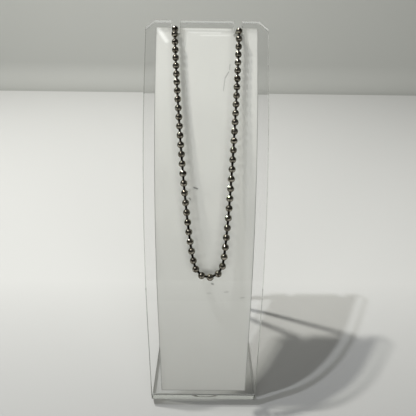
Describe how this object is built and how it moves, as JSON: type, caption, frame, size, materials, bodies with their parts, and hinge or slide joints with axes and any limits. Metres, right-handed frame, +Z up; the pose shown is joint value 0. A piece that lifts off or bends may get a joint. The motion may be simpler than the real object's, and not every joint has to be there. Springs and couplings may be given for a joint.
{
  "type": "ball chain necklace on a display stand",
  "caption": "Steel ball chain necklace hung in a closed loop through the notches of a curved clear acrylic display stand with a white backing film.",
  "frame": {"origin": "on the surface that the stand rests on, under the middle of its bounding box", "axes": "+X to the viewer's right across the panel, -Y towards the viewer, +Z up"},
  "size_m": [0.0602, 0.0894, 0.1714],
  "materials": {
    "clear_acrylic": "clear, polished",
    "white_film": "satin",
    "chain_steel": "polished, dark",
    "connector_steel": "satin"
  },
  "bodies": {
    "root": {"stand_sheet": "clear_acrylic", "backing_film": "white_film", "chain_front": "chain_steel", "chain_back": "chain_steel", "connector": "connector_steel"}
  },
  "joints": []
}
